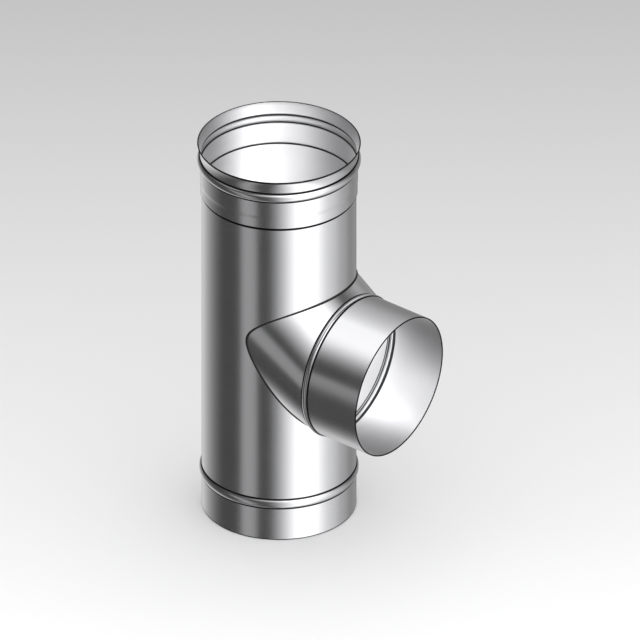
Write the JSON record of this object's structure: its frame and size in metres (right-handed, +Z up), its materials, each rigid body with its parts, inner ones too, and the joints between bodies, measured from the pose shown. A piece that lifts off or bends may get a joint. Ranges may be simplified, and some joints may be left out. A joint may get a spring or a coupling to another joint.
{
  "type": "stove pipe tee",
  "caption": "Single-wall stainless flue tee: upright pipe with a stop bead, a flared socket collar on top and a beaded branch that leaves through a boot neck and falls slightly outwards.",
  "frame": {"origin": "centre of the upright pipe's lower edge", "axes": "+Z up the upright pipe, +X along the branch seen from above"},
  "size_m": [0.1891, 0.1322, 0.3351],
  "materials": {
    "stainless_sheet": "bright rolled stainless sheet with a fine circumferential grain"
  },
  "bodies": {
    "root": {"main_pipe": "stainless_sheet", "socket_collar": "stainless_sheet", "branch_stub": "stainless_sheet"}
  },
  "joints": []
}
